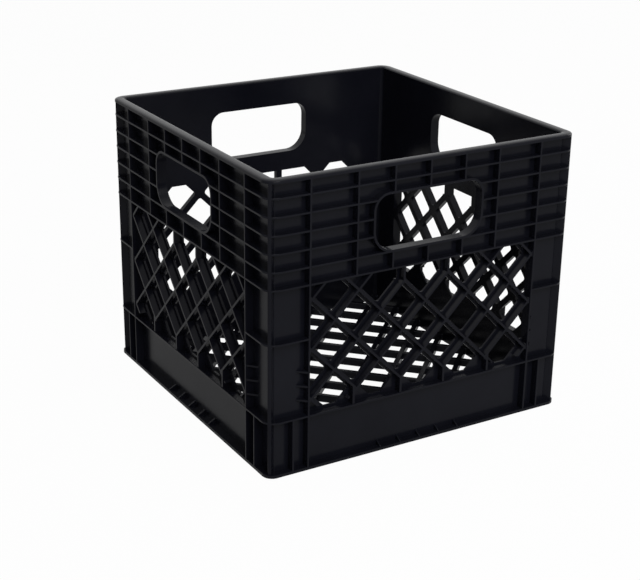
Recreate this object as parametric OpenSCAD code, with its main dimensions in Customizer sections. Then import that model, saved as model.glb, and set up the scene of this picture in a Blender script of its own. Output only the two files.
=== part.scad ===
// Square open crate for milk bottles, moulded in one piece.
// The moulding is divided at its own plate edges into sections that meet face to face.
// Origin: centre of the underside. +X right, +Y back, +Z up. Lengths in millimetres.

/* [Overall size] */
// Outside width and depth over the ribs
crate_w = 330.2; // [300:0.1:360]
// Outside height
crate_h = 279.4; // [262:0.1:296]
// Plan radius of the outer corners
corner_r = 13; // [6:0.5:18]
// Plan radius of the outer corners of the bottom rail
foot_corner_r = 10; // [4:0.5:16]
// Plan radius of the inside corners
inner_corner_r = 4; // [1:0.5:6]

/* [Walls] */
// Depth of the outward ribs, from the skin to their edges
rib_depth = 8; // [6:0.1:12]
// Thickness of the smooth inner skin
skin_t = 2.2; // [1.6:0.1:3]
// Thickness of the ribs
rib_t = 2; // [1.4:0.1:3]
// Thickness of the top rim
rim_t = 3.4; // [2:0.1:5]
// Thickness of the bottom rail
rail_t = 3; // [2:0.1:5]

/* [Top band] */
// Centre distance of the horizontal ribs
rib_pitch = 16.5; // [15:0.1:17.5]
// Centre distance of the uprights between the ribs
upright_pitch = 37.7; // [32:0.1:39]

/* [Hand holes] */
// Clear width of a hand hole
hole_w = 114; // [90:1:120]
// Clear height of a hand hole
hole_h = 52.2; // [44:0.1:53]
// Radius of the upper corners of a hand hole
hole_top_r = 14; // [6:0.5:20]
// Radius of the lower corners of a hand hole
hole_low_r = 20; // [8:0.5:22]
// Thickness of the collar round a hand hole
collar_t = 2.4; // [1.6:0.1:3]

/* [Corner posts] */
// Width of a post on each wall
post_w = 43; // [36:0.1:48]
// Thickness of the web that runs out to the corner
corner_web_t = 3.4; // [2:0.1:5]
// Height of the middle shelf of a post, at its centre
post_shelf_z = 129.3; // [122:0.1:136]
// Distance of the foot upright from the outside corner
foot_upright_x = 26.3; // [20:0.1:32]
// Height of the lowest small post gusset above the sill
post_gusset_low = 15; // [8:0.5:16]
// Centre distance of the small post gussets
post_gusset_pitch = 14; // [10:0.5:16]
// Number of small post gussets on each side of a post
post_gusset_count = 3; // [1:1:4]
// Reach of a small post gusset along the wall
post_gusset_reach = 8.5; // [4:0.5:11]
// Reach of a small post gusset out from the skin
post_gusset_depth = 7.5; // [4:0.1:8]

/* [Lattice] */
// Half of the distance between crossings, across and up
lattice_pitch = 24.1; // [22:0.05:24.6]
// Drop of the highest row of crossings below the band
lattice_drop = 13.1; // [11:0.1:15]
// Width of the flat inner flange of a bar
bar_w = 6.8; // [6:0.1:11]
// Thickness of the fin of a bar
fin_t = 2.2; // [1.6:0.1:3]
// Setback of the fins from the edges of the ribs
fin_setback = 0.8; // [0:0.1:2]
// Corner radius of the lattice openings
opening_r = 3; // [1:0.1:5]
// Height of the skin left at the top and bottom of the lattice
lattice_margin = 1.8; // [1:0.1:4]
// Least height of the lowest row of crossings above the sill
lattice_clear = 9; // [6:0.1:12]

/* [Skirt] */
// Height of the sill at the top of the skirt, at its centre
sill_z = 54; // [46:0.1:56]
// Number of ledge gussets on each wall
ledge_gusset_count = 5; // [1:2:5]
// Thickness of a ledge gusset
ledge_gusset_t = 1.6; // [1:0.1:3]
// Height of a ledge gusset against the skin
ledge_gusset_h = 4.5; // [2:0.1:8]

/* [Floor] */
// Half of the distance between floor crossings
floor_pitch = 22; // [20:0.1:24]
// Width of the floor bars
floor_bar_w = 5.4; // [3:0.1:7]
// Height of the floor bars
floor_t = 7.5; // [4:0.5:10]

/* [Hidden] */
$fn = 48;
cut = 1;
colour = [0.035, 0.035, 0.042];
half_w = crate_w / 2;
wall_t = rib_depth + skin_t;
inner_half = half_w - wall_t;
post_in = half_w - post_w;
rim_low = crate_h - rim_t;
// Horizontal ribs below the rim: the lowest closes the band, the one above it carries the collars
rib_count = 6;
rib_z = [for (n = [1 : rib_count]) crate_h - n * rib_pitch];
band_low = rib_z[rib_count - 1] - rib_t / 2;
frame_low = rib_z[rib_count - 2] - rib_t / 2;
hole_low = frame_low + collar_t;
hole_top = hole_low + hole_h;
frame_top = hole_top + collar_t;
frame_half = hole_w / 2 + collar_t;
sill_low = sill_z - rib_t / 2;
sill_top = sill_z + rib_t / 2;
// Rows of lattice crossings, counted down from the highest
row_top = band_low - lattice_drop;
lattice_rows = floor((row_top - sill_top - lattice_clear) / lattice_pitch) + 1;
row_low = row_top - (lattice_rows - 1) * lattice_pitch;
lattice_cols = ceil(post_in / lattice_pitch);
// Half diagonals of the openings, before their corners are rounded
opening_reach = lattice_pitch - bar_w / sqrt(2);
floor_reach = floor_pitch - floor_bar_w / sqrt(2);
floor_cols = ceil(inner_half / floor_pitch);
// The outer lower stubs stand under the outer uprights of the band
stub_x = 2 * upright_pitch;
stub_node_x = 3 * lattice_pitch;

SIDES = ["front", "right", "back", "left"];
CORNERS = ["front_right", "back_right", "back_left", "front_left"];
PARTS = ["top", "bottom", "left", "right"];

// Turns a section of the front wall to side k
module on_side(k) {
    color(colour) rotate([0, 0, 90 * k]) children();
}

// Raises a shape drawn on the wall between two depths below the outer face
module wall_plate(d0, d1) {
    translate([0, d1 - half_w, 0])
        rotate([90, 0, 0])
            linear_extrude(d1 - d0)
                children();
}

// Rectangle from its limits
module box2(x0, x1, y0, y1) {
    translate([x0, y0]) square([x1 - x0, y1 - y0]);
}

// Rectangle on one side of the middle
module side_box(side, x0, x1, y0, y1) {
    if (side > 0) box2(x0, x1, y0, y1);
    else box2(-x1, -x0, y0, y1);
}

// Horizontal rib, as drawn on the wall
module rib_line(x0, x1, z) {
    box2(x0, x1, z - rib_t / 2, z + rib_t / 2);
}

// Vertical rib, as drawn on the wall
module upright_line(x, t, z0, z1) {
    box2(x - t / 2, x + t / 2, z0, z1);
}

// Square in plan with round corners
module round_square(width, r) {
    square([width - 2 * r, width], center = true);
    square([width, width - 2 * r], center = true);
    for (x = [-1, 1], y = [-1, 1])
        translate([x * (width / 2 - r), y * (width / 2 - r)]) circle(r);
}

// Plate that closes the wall in plan, cut to the front wall and mitred at the corners
module ring_quarter(z, t, r) {
    translate([0, 0, z])
        linear_extrude(t)
            intersection() {
                difference() {
                    round_square(crate_w, r);
                    round_square(2 * inner_half, inner_corner_r);
                }
                polygon([[0, 0], [crate_w, -crate_w], [-crate_w, -crate_w]]);
            }
}

// Hand hole outline, grown by the collar
module hole_outline(grow) {
    top_r = hole_top_r + grow;
    low_r = hole_low_r + grow;
    reach = hole_w / 2 + grow;
    top = hole_top + grow;
    low = hole_low - grow;
    box2(-reach + top_r, reach - top_r, low + low_r, top);
    box2(-reach + low_r, reach - low_r, low, low + low_r);
    box2(-reach, reach, low + low_r, top - top_r);
    for (side = [-1, 1]) {
        translate([side * (reach - top_r), top - top_r]) circle(top_r);
        translate([side * (reach - low_r), low + low_r]) circle(low_r);
    }
}

// Ribs and uprights of the top band, as drawn on the wall
module band_lines() {
    for (z = rib_z) rib_line(-half_w, half_w, z);
    for (n = [-2 : 2]) upright_line(n * upright_pitch, rib_t, band_low, rim_low);
}

// One rectangular section of the ribbed band
module band_section(x0, x1, z0, z1) {
    wall_plate(rib_depth, wall_t) box2(x0, x1, z0, z1);
    wall_plate(0, rib_depth)
        intersection() {
            band_lines();
            box2(x0, x1, z0, z1);
        }
}

module band(part) {
    if (part == "top") band_section(-frame_half, frame_half, frame_top, rim_low);
    if (part == "bottom") band_section(-frame_half, frame_half, band_low, frame_low);
    if (part == "left") band_section(-post_in, -frame_half, band_low, rim_low);
    if (part == "right") band_section(frame_half, post_in, band_low, rim_low);
}

// Collar of a hand hole, with the skin and the rib ends in its corners
module hand_hole() {
    wall_plate(rib_depth, wall_t)
        difference() {
            box2(-frame_half, frame_half, frame_low, frame_top);
            hole_outline(0);
        }
    wall_plate(0, rib_depth)
        difference() {
            hole_outline(collar_t);
            hole_outline(0);
        }
    wall_plate(0, rib_depth)
        difference() {
            intersection() {
                band_lines();
                box2(-frame_half, frame_half, frame_low, frame_top);
            }
            hole_outline(collar_t);
        }
}

// Openings of the lattice, as drawn on the wall
module lattice_openings() {
    for (row = [0 : lattice_rows - 1], col = [-lattice_cols : lattice_cols])
        if ((row + col) % 2 == 0)
            translate([col * lattice_pitch, row_top - row * lattice_pitch])
                rotate(45)
                    round_square(opening_reach * sqrt(2), opening_r);
    // Beside the upper stubs the openings run straight up
    near = lattice_pitch - bar_w / 2;
    far = lattice_pitch + bar_w / 2;
    box2(-near, near, row_top, band_low);
    for (side = [-1, 1]) side_box(side, far, 2 * lattice_pitch, row_top, band_low);
}

// Diagonal fins through every crossing, long enough to pass the whole wall
module diagonals() {
    for (n = [-lattice_cols - lattice_rows : lattice_cols + lattice_rows])
        if (n % 2 != 0)
            translate([n * lattice_pitch, row_top])
                for (angle = [45, -45])
                    rotate(angle) square([2 * crate_w, fin_t], center = true);
}

// Where the diagonal fins stand, as drawn on the wall
module fin_field() {
    run_out = abs(stub_x - stub_node_x) + fin_t;
    box2(-post_in, post_in, row_low, row_top);
    for (side = [-1, 1]) {
        // On to the band, but for the two middle crossings
        side_box(side, 2 * lattice_pitch, post_in, row_top, band_low);
        // On to the outer stubs
        side_box(side, min(stub_x, stub_node_x) - fin_t / 2, max(stub_x, stub_node_x) + fin_t / 2, row_low - run_out, row_low);
        // On to the posts
        side_box(side, stub_x + 2 * fin_t, post_in, row_low - lattice_pitch / 3, row_low);
    }
}

module lattice_fins() {
    intersection() {
        fin_field();
        box2(-post_in, post_in, sill_top, band_low);
        diagonals();
    }
    for (side = [-1, 1]) {
        upright_line(side * lattice_pitch, fin_t, row_top - fin_t, band_low);
        upright_line(side * lattice_pitch, fin_t, sill_top, row_low + fin_t);
        upright_line(side * stub_x, fin_t, sill_top, row_low + abs(stub_x - stub_node_x));
    }
}

module lattice() {
    wall_plate(rib_depth, wall_t)
        difference() {
            box2(-post_in, post_in, sill_top, band_low);
            intersection() {
                box2(-post_in, post_in, sill_top + lattice_margin, band_low - lattice_margin);
                lattice_openings();
            }
        }
    wall_plate(fin_setback, rib_depth) lattice_fins();
}

// Skirt panel with its sill, and the gussets on the ledge of the bottom rail
module skirt() {
    wall_plate(rib_depth, wall_t) box2(-post_in, post_in, rail_t, sill_top);
    wall_plate(0, rib_depth) rib_line(-post_in, post_in, sill_z);
    last = (ledge_gusset_count - 1) / 2;
    for (n = [-last : last])
        translate([n * floor_pitch - ledge_gusset_t / 2, -half_w, rail_t])
            rotate([90, 0, 90])
                linear_extrude(ledge_gusset_t)
                    polygon([[0, 0], [rib_depth, 0], [rib_depth, ledge_gusset_h]]);
}

// Plate or ring in plan between two heights, cut to one corner post
module post_part(z0, z1) {
    translate([0, 0, z0])
        linear_extrude(z1 - z0)
            intersection() {
                children();
                translate([post_in, -half_w - cut]) square([post_w + cut, post_w + cut]);
            }
}

// Wall in plan from a distance below its outer face to the inside
module wall_ring(d, r) {
    difference() {
        round_square(crate_w - 2 * d, r);
        round_square(2 * inner_half, inner_corner_r);
    }
}

// Ribs and gussets that stand on one of the post's two legs
module post_leg() {
    foot_x = half_w - foot_upright_x;
    wall_plate(0, wall_t) box2(post_in, post_in + rib_t, rail_t, rim_low);
    wall_plate(0, wall_t) upright_line(foot_x, rib_t, rail_t, sill_z);
    for (n = [0 : post_gusset_count - 1])
        translate([post_in + rib_t, rib_depth - half_w, sill_z + post_gusset_low + n * post_gusset_pitch - rib_t / 2])
            linear_extrude(rib_t)
                polygon([[0, 0], [post_gusset_reach, 0], [0, -post_gusset_depth]]);
}

module corner_post() {
    post_part(rail_t, rim_low) wall_ring(rib_depth, inner_corner_r);
    post_leg();
    mirror([1, 1, 0]) post_leg();
    // Web out to the corner
    post_part(rail_t, rim_low)
        intersection() {
            wall_ring(0, corner_r);
            translate([half_w, -half_w]) rotate(-45) square([crate_w, corner_web_t], center = true);
        }
    // Shelves
    for (z = concat(rib_z, [post_shelf_z, sill_z]))
        post_part(z - rib_t / 2, z + rib_t / 2) wall_ring(0, corner_r);
}

module floor_grid() {
    color(colour)
        linear_extrude(floor_t)
            difference() {
                round_square(2 * inner_half, inner_corner_r);
                for (row = [-floor_cols : floor_cols], col = [-floor_cols : floor_cols])
                    if ((row + col) % 2 != 0)
                        translate([col * floor_pitch, row * floor_pitch])
                            rotate(45)
                                square(floor_reach * sqrt(2), center = true);
            }
}

for (k = [0 : 3]) {
    side = SIDES[k];
    on_side(k) ring_quarter(rim_low, rim_t, corner_r);
    for (part = PARTS)
        on_side(k) band(part);
    on_side(k) hand_hole();
    on_side(k) lattice();
    on_side(k) skirt();
    on_side(k) ring_quarter(0, rail_t, foot_corner_r);
    on_side(k) corner_post();
}
floor_grid();
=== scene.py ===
import math
import bmesh
import bpy
from mathutils import Matrix, Vector
from mathutils.bvhtree import BVHTree


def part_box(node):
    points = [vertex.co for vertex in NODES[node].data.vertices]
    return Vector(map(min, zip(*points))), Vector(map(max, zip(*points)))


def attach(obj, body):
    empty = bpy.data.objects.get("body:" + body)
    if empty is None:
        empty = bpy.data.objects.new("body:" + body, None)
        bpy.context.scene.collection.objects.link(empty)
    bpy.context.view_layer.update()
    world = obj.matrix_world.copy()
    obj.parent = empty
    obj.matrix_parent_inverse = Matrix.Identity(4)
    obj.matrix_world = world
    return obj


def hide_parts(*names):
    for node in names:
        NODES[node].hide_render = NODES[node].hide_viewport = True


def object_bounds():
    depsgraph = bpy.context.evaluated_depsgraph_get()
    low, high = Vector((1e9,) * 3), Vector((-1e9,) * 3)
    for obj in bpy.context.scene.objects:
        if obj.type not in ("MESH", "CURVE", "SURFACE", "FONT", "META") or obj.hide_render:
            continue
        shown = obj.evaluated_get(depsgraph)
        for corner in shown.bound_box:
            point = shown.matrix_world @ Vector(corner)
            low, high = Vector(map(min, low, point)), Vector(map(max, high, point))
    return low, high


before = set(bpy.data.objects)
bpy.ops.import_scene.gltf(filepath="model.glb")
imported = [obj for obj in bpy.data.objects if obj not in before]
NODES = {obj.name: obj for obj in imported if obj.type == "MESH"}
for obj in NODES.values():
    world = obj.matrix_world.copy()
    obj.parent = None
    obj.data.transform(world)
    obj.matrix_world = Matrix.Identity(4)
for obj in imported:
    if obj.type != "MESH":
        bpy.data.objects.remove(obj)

CAD_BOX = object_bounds()
MM = 0.001
LOW, HIGH = Vector(CAD_BOX[0]), Vector(CAD_BOX[1])
EDGE_R = 0.5 * MM
FLOOR_EDGE_R = 0.6 * MM
RIM_OUTER_R = 13 * MM
RIM_INNER_R = 4 * MM
RIM_CROWN = 1.9 * MM

# ---------------------------------------------------------------- camera

def make_camera():
    az, el, roll = 0.5398, 0.3761, 0.015
    place = Vector((-0.7041, -1.1511, 0.6281))
    focal_px = 1423.2
    forward = Vector((math.sin(az) * math.cos(el), math.cos(az) * math.cos(el), -math.sin(el)))
    right = forward.cross(Vector((0, 0, 1))).normalized()
    up = right.cross(forward)
    x = math.cos(roll) * right + math.sin(roll) * up
    y = math.cos(roll) * up - math.sin(roll) * right
    data = bpy.data.cameras.new("camera")
    data.sensor_fit = "HORIZONTAL"
    data.sensor_width = 36
    data.lens = focal_px * 36 / 640
    data.clip_end = 50
    cam = bpy.data.objects.new("camera", data)
    cam.matrix_world = Matrix((
        (x.x, y.x, -forward.x, place.x),
        (x.y, y.y, -forward.y, place.y),
        (x.z, y.z, -forward.z, place.z),
        (0, 0, 0, 1)))
    bpy.context.scene.collection.objects.link(cam)
    bpy.context.scene.camera = cam


make_camera()

# ---------------------------------------------------------------- materials

def new_material(name):
    m = bpy.data.materials.new(name)
    m.use_nodes = True
    t = m.node_tree
    t.nodes.clear()
    out = t.nodes.new("ShaderNodeOutputMaterial")
    return m, t, out


def add(t, kind, **values):
    n = t.nodes.new(kind)
    for k, v in values.items():
        if hasattr(n, k) and k not in n.inputs:
            setattr(n, k, v)
        else:
            n.inputs[k].default_value = v
    return n


def black_plastic():
    m, t, out = new_material("crate_plastic")
    link = t.links.new
    coord = add(t, "ShaderNodeTexCoord")
    b = add(t, "ShaderNodeBsdfPrincipled")
    b.inputs["IOR"].default_value = 1.5
    b.inputs["Specular IOR Level"].default_value = 0.1
    # soft cloudiness of the colour, as moulded black polyethylene has
    cloud = add(t, "ShaderNodeTexNoise", Scale=14.0, Detail=4.0, Roughness=0.55)
    link(coord.outputs["Object"], cloud.inputs["Vector"])
    ramp = add(t, "ShaderNodeValToRGB")
    ramp.color_ramp.elements[0].position = 0.3
    ramp.color_ramp.elements[0].color = (0.0036, 0.0038, 0.0062, 1)
    ramp.color_ramp.elements[1].position = 0.75
    ramp.color_ramp.elements[1].color = (0.0060, 0.0063, 0.0096, 1)
    link(cloud.outputs["Fac"], ramp.inputs["Fac"])
    link(ramp.outputs["Color"], b.inputs["Base Color"])
    # gloss varies a little where the plastic has been handled
    rub = add(t, "ShaderNodeTexNoise", Scale=38.0, Detail=5.0, Roughness=0.6)
    link(coord.outputs["Object"], rub.inputs["Vector"])
    gloss = add(t, "ShaderNodeMapRange")
    gloss.inputs["From Min"].default_value = 0.3
    gloss.inputs["From Max"].default_value = 0.75
    gloss.inputs["To Min"].default_value = 0.17
    gloss.inputs["To Max"].default_value = 0.26
    link(rub.outputs["Fac"], gloss.inputs["Value"])
    link(gloss.outputs["Result"], b.inputs["Roughness"])
    # fine moulded skin
    grain = add(t, "ShaderNodeTexNoise", Scale=1100.0, Detail=2.0)
    link(coord.outputs["Object"], grain.inputs["Vector"])
    swell = add(t, "ShaderNodeTexNoise", Scale=120.0, Detail=1.0)
    link(coord.outputs["Object"], swell.inputs["Vector"])
    fine = add(t, "ShaderNodeBump", Strength=0.12, Distance=0.00004)
    link(grain.outputs["Fac"], fine.inputs["Height"])
    wide = add(t, "ShaderNodeBump", Strength=0.25, Distance=0.0002)
    link(swell.outputs["Fac"], wide.inputs["Height"])
    link(fine.outputs["Normal"], wide.inputs["Normal"])
    link(wide.outputs["Normal"], b.inputs["Normal"])
    link(b.outputs["BSDF"], out.inputs["Surface"])
    return m


PLASTIC = black_plastic()

# ---------------------------------------------------------------- moulded sections

def welded(node):
    """The node's own faces, joined up again and with flat areas whole."""
    bm = bmesh.new()
    bm.from_mesh(NODES[node].data)
    bmesh.ops.remove_doubles(bm, verts=bm.verts, dist=2e-6)
    bmesh.ops.dissolve_limit(bm, angle_limit=math.radians(0.6), verts=bm.verts, edges=bm.edges)
    bm.normal_update()
    return bm


SOLIDS = {}
for name in NODES:
    whole = bmesh.new()
    whole.from_mesh(NODES[name].data)
    bmesh.ops.remove_doubles(whole, verts=whole.verts, dist=2e-6)
    low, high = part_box(name)
    SOLIDS[name] = (BVHTree.FromBMesh(whole), low, high)
    whole.free()

RAY = Vector((0.317, 0.211, 0.925)).normalized()


def inside_another(point, own):
    """Whether a point lies in the plastic of a neighbouring section."""
    for name, (tree, low, high) in SOLIDS.items():
        if name == own:
            continue
        if any(point[i] < low[i] - 1e-5 or point[i] > high[i] + 1e-5 for i in range(3)):
            continue
        hits, start = 0, point.copy()
        while hits < 200:
            place, _, _, _ = tree.ray_cast(start, RAY)
            if place is None:
                break
            hits += 1
            start = place + RAY * 1e-6
        if hits % 2:
            return True
    return False


def free_edge(edge, own):
    """Whether an outward edge stands free, so that the mould would round it."""
    f1, f2 = edge.link_faces
    a, b = edge.verts[0].co, edge.verts[1].co
    along = (b - a).normalized()
    free = 0
    marks = (0.14, 0.5, 0.86) if (b - a).length < 0.03 else (0.07, 0.24, 0.43, 0.61, 0.79, 0.93)
    for s in marks:
        p = a.lerp(b, s)
        clear = True
        for face, other in ((f1, f2), (f2, f1)):
            across = face.normal.cross(along)
            if across.dot(other.normal) < 0:
                across = -across
            if inside_another(p + across * 0.0002 - face.normal * 0.0001, own):
                clear = False
                break
        free += clear
    return free * 2 > len(marks)


def section(node, radius, steps):
    bm = welded(node)
    edges = []
    for e in bm.edges:
        if len(e.link_faces) != 2 or not e.is_convex:
            continue
        if e.calc_face_angle(0) < math.radians(40) or e.calc_length() < 0.0004:
            continue
        if free_edge(e, node):
            edges.append(e)
    bmesh.ops.bevel(bm, geom=edges, offset=radius, offset_type="OFFSET", segments=steps, profile=0.5,
                    affect="EDGES", clamp_overlap=True, loop_slide=True)
    return finished(bm, node, math.radians(34))


# ---------------------------------------------------------------- rim

SIDES = ("front", "right", "back", "left")
# the floor grid fills the inside, so its width gives the depth of the walls
WALL = HIGH.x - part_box("floor_grid")[1][0]


def bead_profile(width, low, high, crown, power, steps):
    """Depth and height of points round the rim's section: upright sides and a crowned top."""
    points = [(width, low), (0, low)]
    for i in range(steps + 1):
        t = math.pi * i / steps
        across = math.copysign(abs(math.cos(t)) ** (2 / power), math.cos(t))
        points.append((width / 2 * (1 - across), high - crown + crown * math.sin(t) ** (2 / power)))
    return points


def rim(node, turn, wall, outer_r, inner_r):
    """One side of the rim, swept along the wall and round half of each corner to its mitre."""
    low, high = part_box(node)
    profile = bead_profile(wall, low.z, high.z, RIM_CROWN, 2.6, 18)
    stations = [(-1, 225 + 45 * i / 10) for i in range(11)] + [(1, 270 + 45 * i / 10) for i in range(11)]
    spin = Matrix.Rotation(turn, 4, "Z")
    bm = bmesh.new()
    rings = []
    for side, angle in stations:
        a = math.radians(angle)
        ring = []
        for depth, z in profile:
            radius = outer_r + (inner_r - outer_r) * depth / wall
            centre = HIGH.x - depth - radius
            x = side * centre + radius * math.cos(a)
            y = -centre + radius * math.sin(a)
            ring.append(bm.verts.new(spin @ Vector((x, y, z))))
        rings.append(ring)
    count = len(profile)
    for one, two in zip(rings, rings[1:]):
        for i in range(count):
            j = (i + 1) % count
            bm.faces.new((one[i], two[i], two[j], one[j]))
    bm.faces.new(rings[0])
    bm.faces.new(list(reversed(rings[-1])))
    bmesh.ops.recalc_face_normals(bm, faces=bm.faces)
    return finished(bm, node, math.radians(50))


def finished(bm, node, sharp):
    """A mesh piece that stands for a node of the frame, with its finish."""
    bm.normal_update()
    for f in bm.faces:
        f.smooth = True
    for e in bm.edges:
        e.smooth = e.calc_face_angle(0) < sharp
    mesh = bpy.data.meshes.new(node + "_moulded")
    bm.to_mesh(mesh)
    bm.free()
    piece = bpy.data.objects.new(node + "_moulded", mesh)
    bpy.context.scene.collection.objects.link(piece)
    mesh.materials.append(PLASTIC)
    flow = piece.modifiers.new("flow", "WEIGHTED_NORMAL")
    flow.keep_sharp = True
    flow.weight = 80
    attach(piece, "root")
    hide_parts(node)
    return piece


for node in sorted(NODES):
    if node.startswith("rim_"):
        turn = SIDES.index(node[len("rim_"):]) * math.pi / 2
        rim(node, turn, WALL, RIM_OUTER_R, RIM_INNER_R)
    elif node.startswith("floor"):
        section(node, FLOOR_EDGE_R, 1)
    else:
        section(node, EDGE_R, 2)

# ---------------------------------------------------------------- floor, light

def seen_rays(t, straight, other):
    """How far the white shows to the camera, and in a reflection or through glass."""
    path = add(t, "ShaderNodeLightPath")
    total = None
    for ray, share in (("Is Camera Ray", straight), ("Is Glossy Ray", other), ("Is Transmission Ray", other)):
        part = add(t, "ShaderNodeMath", operation="MULTIPLY")
        part.inputs[1].default_value = share
        t.links.new(path.outputs[ray], part.inputs[0])
        if total is None:
            total = part
            continue
        both = add(t, "ShaderNodeMath", operation="MAXIMUM")
        t.links.new(total.outputs[0], both.inputs[0])
        t.links.new(part.outputs[0], both.inputs[1])
        total = both
    return total.outputs[0]


def make_floor():
    m, t, out = new_material("floor")
    link = t.links.new
    cloth = add(t, "ShaderNodeBsdfDiffuse", Color=(0.7, 0.7, 0.7, 1))
    glow = add(t, "ShaderNodeEmission", Color=(1, 1, 1, 1), Strength=1.0)
    mix = add(t, "ShaderNodeMixShader")
    # the rest is cloth, which keeps the crate's shadow
    link(seen_rays(t, 0.97, 0.3), mix.inputs["Fac"])
    link(cloth.outputs[0], mix.inputs[1])
    link(glow.outputs[0], mix.inputs[2])
    link(mix.outputs[0], out.inputs["Surface"])
    bm = bmesh.new()
    bmesh.ops.create_grid(bm, x_segments=2, y_segments=2, size=8)
    mesh = bpy.data.meshes.new("floor")
    bm.to_mesh(mesh)
    bm.free()
    mesh.materials.append(m)
    floor = bpy.data.objects.new("floor", mesh)
    floor.location = (0, 0, LOW.z - 0.0002)
    bpy.context.scene.collection.objects.link(floor)


def area_light(name, place, target, size, power):
    data = bpy.data.lights.new(name, "AREA")
    data.shape = "RECTANGLE"
    data.size, data.size_y = size
    data.energy = power
    o = bpy.data.objects.new(name, data)
    o.location = place
    o.rotation_euler = (Vector(target) - Vector(place)).to_track_quat("-Z", "Y").to_euler()
    bpy.context.scene.collection.objects.link(o)


def make_light():
    world = bpy.data.worlds.new("world")
    bpy.context.scene.world = world
    world.use_nodes = True
    t = world.node_tree
    t.nodes.clear()
    link = t.links.new
    out = add(t, "ShaderNodeOutputWorld")
    weak = add(t, "ShaderNodeBackground", Color=(1, 1, 1, 1), Strength=0.12)
    plain = add(t, "ShaderNodeBackground", Color=(1, 1, 1, 1), Strength=1.0)
    mix = add(t, "ShaderNodeMixShader")
    link(seen_rays(t, 1, 1), mix.inputs["Fac"])
    link(weak.outputs[0], mix.inputs[1])
    link(plain.outputs[0], mix.inputs[2])
    link(mix.outputs[0], out.inputs["Surface"])
    area_light("front_softbox", (-0.4, -2.5, 2.0), (0, 0, 0.15), (2.4, 2.0), 95)
    area_light("top_softbox", (0.3, 0.5, 2.2), (0, 0, 0.1), (2.0, 2.0), 6)
    area_light("right_softbox", (2.2, 0.2, 1.4), (0, 0, 0.15), (1.2, 1.4), 14)


make_floor()
make_light()
bpy.context.scene.view_settings.view_transform = "Standard"
